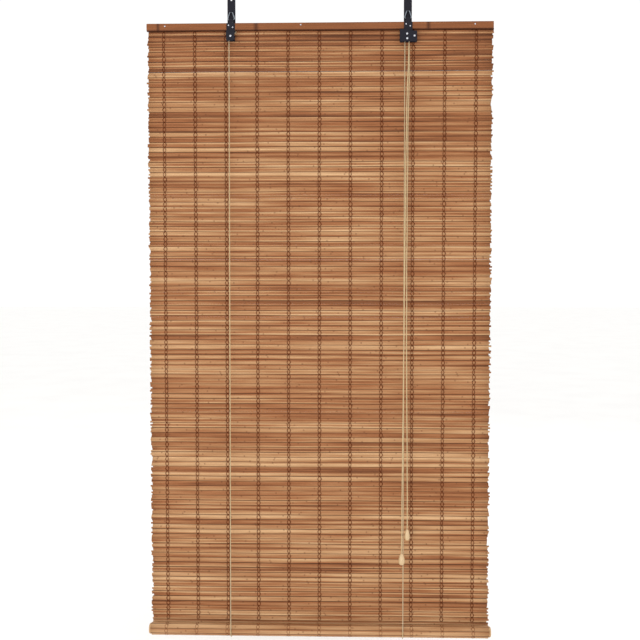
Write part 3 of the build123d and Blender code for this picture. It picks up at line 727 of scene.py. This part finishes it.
def ring_columns_tree(values):
    """Thread rings round the roll at every column, waving out and in once for each facet."""
    tree, given = geometry_tree("ring_columns", values)
    ring = add(tree, "GeometryNodeCurvePrimitiveCircle", {"Resolution": 64, "Radius": 1.0})
    share = add(tree, "GeometryNodeSplineParameter")
    turn = add(tree, "ShaderNodeMath", {0: share, 1: 2 * math.pi}, operation="MULTIPLY")
    half = add(tree, "ShaderNodeMath", {0: given["Facets"], 1: 0.5}, operation="MULTIPLY")
    wave = add(tree, "ShaderNodeMath", {0: turn, 1: half, 2: math.pi / 2}, operation="MULTIPLY_ADD")
    crest = add(tree, "ShaderNodeMath", {0: wave}, operation="SINE")
    x = add(tree, "ShaderNodeMath", {0: crest, 1: given["Half Width"]}, operation="MULTIPLY")
    # the facet's own profile: nearest in its middle, at most the rounded corner's radius
    within = wave
    for step, other in (
        ("DIVIDE", math.pi),
        ("FRACT", 0.0),
        ("SUBTRACT", 0.5),
        ("MULTIPLY", 2 * math.pi),
        ("DIVIDE", given["Facets"]),
        ("COSINE", 0.0),
    ):
        within = add(tree, "ShaderNodeMath", {0: within, 1: other}, operation=step)
    radius = add(tree, "ShaderNodeMath", {0: given["Apothem"], 1: within}, operation="DIVIDE")
    radius = add(tree, "ShaderNodeMath", {0: radius, 1: given["Corner"]}, operation="MINIMUM")
    flat = add(tree, "ShaderNodeCombineXYZ", {0: x, 1: radius})
    spot = add(tree, "ShaderNodeVectorRotate", {"Vector": flat, "Angle": turn}, rotation_type="X_AXIS")
    centre = add(tree, "ShaderNodeCombineXYZ", {1: given["Centre Y"], 2: given["Centre Z"]})
    ring = add(tree, "GeometryNodeSetPosition", {"Geometry": ring, "Position": spot, "Offset": centre})
    loop = thread_round(tree, ring, given)
    x = column_place(tree, given, add(tree, "GeometryNodeInputIndex"))
    points = add(tree, "GeometryNodeMeshLine", {"Count": given["Columns"], "Offset": ORIGIN})
    spot = add(tree, "ShaderNodeCombineXYZ", {0: x})
    points = add(tree, "GeometryNodeSetPosition", {"Geometry": points, "Position": spot})
    loops = add(tree, "GeometryNodeInstanceOnPoints", {"Points": points, "Instance": loop})
    loops = add(tree, "GeometryNodeRealizeInstances", {"Geometry": loops})
    ending(tree, loops, given["Finish"])
    return tree


# ---------------------------------------------------------------- pieces


def shortens(piece, foot_z, raised_z=None):
    """Gives a hanging piece a mesh of its own."""
    if raised_z is None:
        raised_z = foot_z + RISE + RAISED_GAP
    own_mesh(piece)


class BLIND_OT_mat(bpy.types.Operator):
    """Lays the mat's slat rows under the head"""

    bl_idname = "blind.mat"
    bl_label = "Slat rows"

    def execute(self, context):
        mat = context.scene.blind.mat
        values = {
            "Rows": mat.rows,
            "Sticks": mat.sticks,
            "Pitch": mat.pitch,
            "Top": RAIL_FOOT + mat.pitch,
            "Depth": MAT_DEPTH + SLATS_BEHIND_MIDDLE,
            "Width": mat_high[0] - mat_low[0],
            "Thickness": mat.thickness,
            "End Scatter": mat.end_scatter,
            "Bow": mat.bow,
            "Seed": mat.seed,
            "Finish": finish_named("split_bamboo", split_bamboo, mat),
        }
        slats = grown("mat_slats", slat_rows_tree(values), values)
        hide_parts("mat")
        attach(slats, "head")
        shortens(slats, ROLL_Z)
        return {"FINISHED"}


class BLIND_OT_threads(bpy.types.Operator):
    """Weaves the warp threads round the rows, in front and behind"""

    bl_idname = "blind.threads"
    bl_label = "Warp threads"

    def execute(self, context):
        mat = context.scene.blind.mat
        values = {
            "Rows": mat.rows - 2,
            "Columns": mat.columns,
            "Row Pitch": mat.pitch,
            "Column Pitch": mat.column_pitch,
            "Top": RAIL_FOOT,
            "Depth": MAT_DEPTH,
            "Reach": -(mat.thickness / 2 + mat.thread_radius),
            "Half Width": mat.loop_half_width,
            "Thread Radius": mat.thread_radius,
            "Bow": mat.bow,
            "Seed": mat.seed,
            "Finish": finish_named("cotton_thread", cotton_thread, mat.thread),
        }
        tree = loop_columns_tree(values)
        # the threads' foot, and a height just above the raised roll for both faces' threads, as there is no room for
        # them behind it
        foot = RAIL_FOOT - values["Rows"] * mat.pitch
        above_roll = ROLL_Z + RISE + TURN_APOTHEM + THREADS_ABOVE_ROLL
        for name, side in (("mat_threads_front", 1), ("mat_threads_back", -1)):
            threads = grown(name, tree, {**values, "Reach": values["Reach"] * side})
            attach(threads, "head")
            shortens(threads, foot, above_roll)
        return {"FINISHED"}


class BLIND_OT_roll(bpy.types.Operator):
    """Winds the last rows and their threads round the bottom rod"""

    bl_idname = "blind.roll"
    bl_label = "Bottom roll"

    def execute(self, context):
        mat = context.scene.blind.mat
        finish = context.scene.blind.finish
        values = {
            "Facets": ROLL_FACETS,
            "Sticks": mat.sticks,
            "Pitch": 2 * TURN_APOTHEM * math.tan(math.pi / ROLL_FACETS),
            "Apothem": TURN_APOTHEM - mat.thickness / 2,
            "Centre Y": ROLL_Y,
            "Centre Z": ROLL_Z,
            "Width": turn_high[0] - turn_low[0],
            "Thickness": mat.thickness,
            "Seed": mat.seed + ROLL_SEED_STEP,
            "Finish": finish_named("split_bamboo", split_bamboo, mat),
        }
        wound = grown("roll_slats", wound_rows_tree(values), values)
        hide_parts("wound_turn")
        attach(wound, "foot_roll")
        values = {
            "Facets": ROLL_FACETS,
            "Columns": mat.columns,
            "Column Pitch": mat.column_pitch,
            "Apothem": TURN_APOTHEM - 0.6 * mat.thread_radius,
            "Corner": TURN_APOTHEM + ROLL_CORNER_PROUD,
            "Centre Y": ROLL_Y,
            "Centre Z": ROLL_Z,
            "Half Width": mat.loop_half_width,
            "Thread Radius": mat.thread_radius,
            "Finish": finish_named("cotton_thread", cotton_thread, mat.thread),
        }
        rings = grown("roll_threads", ring_columns_tree(values), values)
        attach(rings, "foot_roll")
        rod = frame["nodes"]["bottom_rod"]
        rod.data.materials.clear()
        rod.data.materials.append(
            finish_named("turned_pine", turned_wood, finish.rod, finish.knob_grain, (4.0, 260.0, 260.0), 0.6, 0.0)
        )
        return {"FINISHED"}


class BLIND_OT_lift_cords(bpy.types.Operator):
    """Runs both lift cords down the back, round under the roll and up the front"""

    bl_idname = "blind.lift_cords"
    bl_label = "Lift cords"

    def execute(self, context):
        cord = finish_named("twisted_cord", twisted_cord, context.scene.blind.finish, "UV")
        columns = (back_cord_low[0] + CORD_R, back_cord_high[0] - CORD_R)
        back_y = (back_cord_low[1] + back_cord_high[1]) / 2
        foot_y = front_cord_low[1] + CORD_R
        head_y = front_cord_high[1] - CORD_R
        tops = (front_cord_high[2] - LEFT_CORD_SHORTER, front_cord_high[2])
        heights = (back_cord_high[2], (back_cord_high[2] + ROLL_Z) / 2, back_cord_low[2])
        behind = [[(x, back_y, z) for z in heights] for x in columns]
        back = tube("lift_cords_back_run", behind, CORD_R, cord)
        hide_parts("lift_cords_back")
        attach(back, "head")
        shortens(back, ROLL_Z)
        rising = [[(x, foot_y, front_cord_low[2]), (x, head_y, top)] for x, top in zip(columns, tops)]
        front = tube("lift_cords_front_run", rising, CORD_R, cord)
        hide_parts("lift_cords_front")
        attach(front, "head")
        shortens(front, front_cord_low[2])
        reach = back_y - ROLL_Y
        turns = [math.pi * k / CORD_BEND_STEPS for k in range(CORD_BEND_STEPS + 1)]
        under = []
        for x in columns:
            bend = [(x, ROLL_Y + reach * math.cos(t), ROLL_Z - reach * math.sin(t)) for t in turns]
            under.append(bend + [(x, foot_y, loop_high[2])])
        loops = tube("lift_cord_under_loops", under, CORD_R, cord)
        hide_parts("lift_cord_loops")
        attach(loops, "cord_loops")
        return {"FINISHED"}


UPPER_ROUTE = [
    (0.2318, -0.02275, -0.1301),
    (0.2332, -0.0240, -0.190),
    (0.2319, -0.0265, -0.262),
    (0.2293, -0.0275, -0.350),
    (0.2298, -0.0296, -0.440),
    (0.2280, -0.0319, -0.530),
    (0.2286, -0.0334, -0.620),
    (0.2273, -0.0356, -0.712),
    (0.2281, -0.0371, -0.800),
    (0.2274, -0.0393, -0.890),
    (0.2286, -0.0408, -0.980),
    (0.2288, -0.0431, -1.070),
    (0.2301, -0.0447, -1.155),
    (0.2303, -0.0470, -1.240),
    (0.2312, -0.0488, -1.322),
    (0.2310, -0.0500, -1.395),
]
LOWER_ROUTE = [
    (0.2318, -0.02525, -0.1301),
    (0.2306, -0.0285, -0.185),
    (0.2269, -0.0306, -0.262),
    (0.2258, -0.0332, -0.350),
    (0.2239, -0.0346, -0.440),
    (0.2240, -0.0372, -0.530),
    (0.2224, -0.0388, -0.620),
    (0.2226, -0.0413, -0.712),
    (0.2211, -0.0429, -0.800),
    (0.2212, -0.0452, -0.890),
    (0.2196, -0.0465, -0.980),
    (0.2195, -0.0488, -1.070),
    (0.2181, -0.0501, -1.155),
    (0.2178, -0.0523, -1.235),
    (0.2168, -0.0535, -1.315),
    (0.2168, -0.0546, -1.390),
    (0.2165, -0.0550, -1.458),
]


def route_line(route):
    """Points along a smooth curve that has the route's points as its control points."""
    curve = bpy.data.curves.new("route", "CURVE")
    curve.dimensions = "3D"
    curve.resolution_u = 12
    spline = curve.splines.new("NURBS")
    spline.points.add(len(route) - 1)
    for point, place in zip(spline.points, route):
        point.co = (*place, 1.0)
    spline.order_u = 3
    spline.use_endpoint_u = True
    holder = bpy.data.objects.new("route", curve)
    line = bpy.data.meshes.new_from_object(holder)
    points = [tuple(v.co) for v in line.vertices]
    bpy.data.objects.remove(holder)
    return points


class BLIND_OT_pull_cords(bpy.types.Operator):
    """Hangs the two pull cords from the lock, with a turned knob on each"""

    bl_idname = "blind.pull_cords"
    bl_label = "Pull cords and knobs"

    def execute(self, context):
        finish = context.scene.blind.finish
        cord = finish_named("twisted_cord", twisted_cord, finish, "UV")
        wood = finish_named(
            "varnished_beech", turned_wood, finish.knob, finish.knob_grain, (420.0, 420.0, 60.0), 0.38, 0.5
        )
        # a knob's outline: shares of its radius, and of its height down from the top
        outline = [
            (0.0, 0.0), (0.3, 0.0), (0.42, 0.008), (0.47, 0.03), (0.47, 0.06), (0.5, 0.085), (0.62, 0.15),
            (0.76, 0.26), (0.89, 0.39), (0.965, 0.5), (0.96, 0.51), (0.99, 0.52), (1.0, 0.62), (0.985, 0.72),
            (0.93, 0.82), (0.82, 0.9), (0.64, 0.955), (0.4, 0.99), (0.2, 1.0), (0.0, 1.0),
        ]  # fmt: skip
        for name, route, low, high, size in (
            ("short", UPPER_ROUTE, upper_knob_low, upper_knob_high, 1.2653),
            ("long", LOWER_ROUTE, lower_knob_low, lower_knob_high, 1.3284),
        ):
            widest = (high[0] - low[0]) / 2
            middle = ((high[0] + low[0]) / 2, (high[1] + low[1]) / 2)
            turned = [(radius * widest, high[2] - drop * (high[2] - low[2])) for radius, drop in outline]
            knob = lathe(f"knob_{name}", turned, middle, wood)
            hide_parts("knob_upper" if name == "short" else "knob_lower")
            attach(knob, "tassels")
            line = route_line(route)
            piece = tube(f"pull_cord_{name}_line", [line], CORD_R, cord, sides=10)
            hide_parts(f"pull_cord_{name}")
            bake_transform(piece)
        return {"FINISHED"}


class BLIND_OT_head(bpy.types.Operator):
    """Finishes the head's strips, the fittings and the cord over the rollers"""

    bl_idname = "blind.head"
    bl_label = "Head and fittings"

    def execute(self, context):
        finish = context.scene.blind.finish
        strip = finish_named("stained_bamboo", stained_bamboo, finish)
        steel = finish_named("painted_steel", painted_steel, finish.steel)
        bright = finish_named("zinc_plated_steel", bare_metal, finish.rivet, 0.3, (900.0, 900.0, 900.0))
        nylon = finish_named("moulded_nylon", moulded_nylon, finish.roller)
        looks = {
            "head_batten": strip,
            "back_lath": strip,
            "hanger_straps": steel,
            "pulley_bracket": steel,
            "lock_bracket": steel,
            "hanging_rings": finish_named("drawn_wire", bare_metal, finish.wire, 0.28, (300.0, 300.0, 300.0)),
            "axle_rivets": bright,
            "batten_pins": bright,
            "bracket_nails": bright,
            "pulley_roller": nylon,
            "lock_roller": nylon,
            "guide_roller": nylon,
            "locking_cam": finish_named("cast_zinc", bare_metal, finish.cam, 0.5, (1500.0, 1500.0, 1500.0)),
            "head_cords": finish_named("twisted_cord_over_rollers", twisted_cord, finish, "Object"),
        }
        for node, look in looks.items():
            materials = frame["nodes"][node].data.materials
            materials.clear()
            materials.append(look)
        return {"FINISHED"}


# ---------------------------------------------------------------- stage


def area_light(name, place, aim, size, power, tint):
    """A soft square light that looks at a point."""
    light = bpy.data.lights.new(name, "AREA")
    light.size = size
    light.energy = power
    light.color = tint
    lamp = bpy.data.objects.new(name, light)
    lamp.location = place
    lamp.rotation_euler = (Vector(aim) - Vector(place)).to_track_quat("-Z", "Y").to_euler()
    bpy.context.scene.collection.objects.link(lamp)


EYE = (0.0683, -2.3617, -0.7373)
EYE_TILT, EYE_TURN = math.radians(87.29), math.radians(1.62)
LENS, SENSOR = 50.2, 36.0
FLOOR_HALF, FLOOR_DROP = 30.0, 0.1
WORLD_STRENGTH = 1.04
MAT_MIDDLE = (0.0, 0.0, -0.9)
# name, place, size, watts, tint
LIGHTS = (
    ("key", (-1.2, -3.4, -0.9), 1.6, 38.0, (1.0, 0.98, 0.95)),
    ("fill", (2.2, -2.4, -0.2), 2.0, 10.0, (0.95, 0.97, 1.0)),
    ("rear", (1.2, 2.6, 1.0), 2.0, 24.0, (1.0, 1.0, 1.0)),
)


class BLIND_OT_stage(bpy.types.Operator):
    """Sets the camera, the pale floor and the soft studio light"""

    bl_idname = "blind.stage"
    bl_label = "Stage"

    def execute(self, context):
        scene = context.scene
        camera = bpy.data.cameras.new("camera")
        camera.lens = LENS
        camera.sensor_width = SENSOR
        camera.clip_start = 0.05
        camera.clip_end = 200.0
        eye = bpy.data.objects.new("camera", camera)
        eye.location = EYE
        eye.rotation_euler = (EYE_TILT, 0.0, EYE_TURN)
        scene.collection.objects.link(eye)
        scene.camera = eye

        level = cad_box[0][2] - FLOOR_DROP
        mesh = bpy.data.meshes.new("floor")
        corners = [(x * FLOOR_HALF, y * FLOOR_HALF, level) for x, y in ((-1, -1), (1, -1), (1, 1), (-1, 1))]
        mesh.from_pydata(corners, [], [(0, 1, 2, 3)])
        floor = placed("floor", mesh, finish_named("floor_paint", pale_floor, scene.blind.finish.floor))

        world = bpy.data.worlds.new("studio")
        world.use_nodes = True
        background = world.node_tree.nodes["Background"]
        background.inputs["Color"].default_value = (1.0, 1.0, 1.0, 1.0)
        background.inputs["Strength"].default_value = WORLD_STRENGTH
        scene.world = world
        for name, place, size, power, tint in LIGHTS:
            area_light(name, place, MAT_MIDDLE, size, power, tint)
        scene.view_settings.view_transform = "Standard"
        scene.view_settings.look = "None"
        return {"FINISHED"}


OPERATORS = (
    BLIND_OT_mat,
    BLIND_OT_threads,
    BLIND_OT_roll,
    BLIND_OT_lift_cords,
    BLIND_OT_pull_cords,
    BLIND_OT_head,
    BLIND_OT_stage,
)


class BLIND_PT_panel(bpy.types.Panel):
    """Lists the blind's settings and the steps that build it"""

    bl_idname = "BLIND_PT_panel"
    bl_label = "Bamboo blind"
    bl_space_type = "VIEW_3D"
    bl_region_type = "UI"
    bl_category = "Blind"

    def draw(self, context):
        layout = self.layout
        for group in (context.scene.blind.mat, context.scene.blind.finish):
            box = layout.box()
            for key in group.bl_rna.properties.keys():
                if key not in {"rna_type", "name"}:
                    box.prop(group, key)
        for step in OPERATORS:
            layout.operator(step.bl_idname)


CLASSES = (BlindMatSettings, BlindFinishSettings, BlindSettings, *OPERATORS, BLIND_PT_panel)


def register():
    """Adds the classes and the scene's settings."""
    for entry in CLASSES:
        bpy.utils.register_class(entry)
    bpy.types.Scene.blind = PointerProperty(type=BlindSettings)


def unregister():
    """Takes the settings and the classes away again."""
    del bpy.types.Scene.blind
    for entry in reversed(CLASSES):
        bpy.utils.unregister_class(entry)


def main():
    """Builds every piece."""
    register()
    for step in OPERATORS:
        group, action = step.bl_idname.split(".")
        getattr(getattr(bpy.ops, group), action)()
    bpy.context.view_layer.update()


if __name__ == "__main__":
    main()
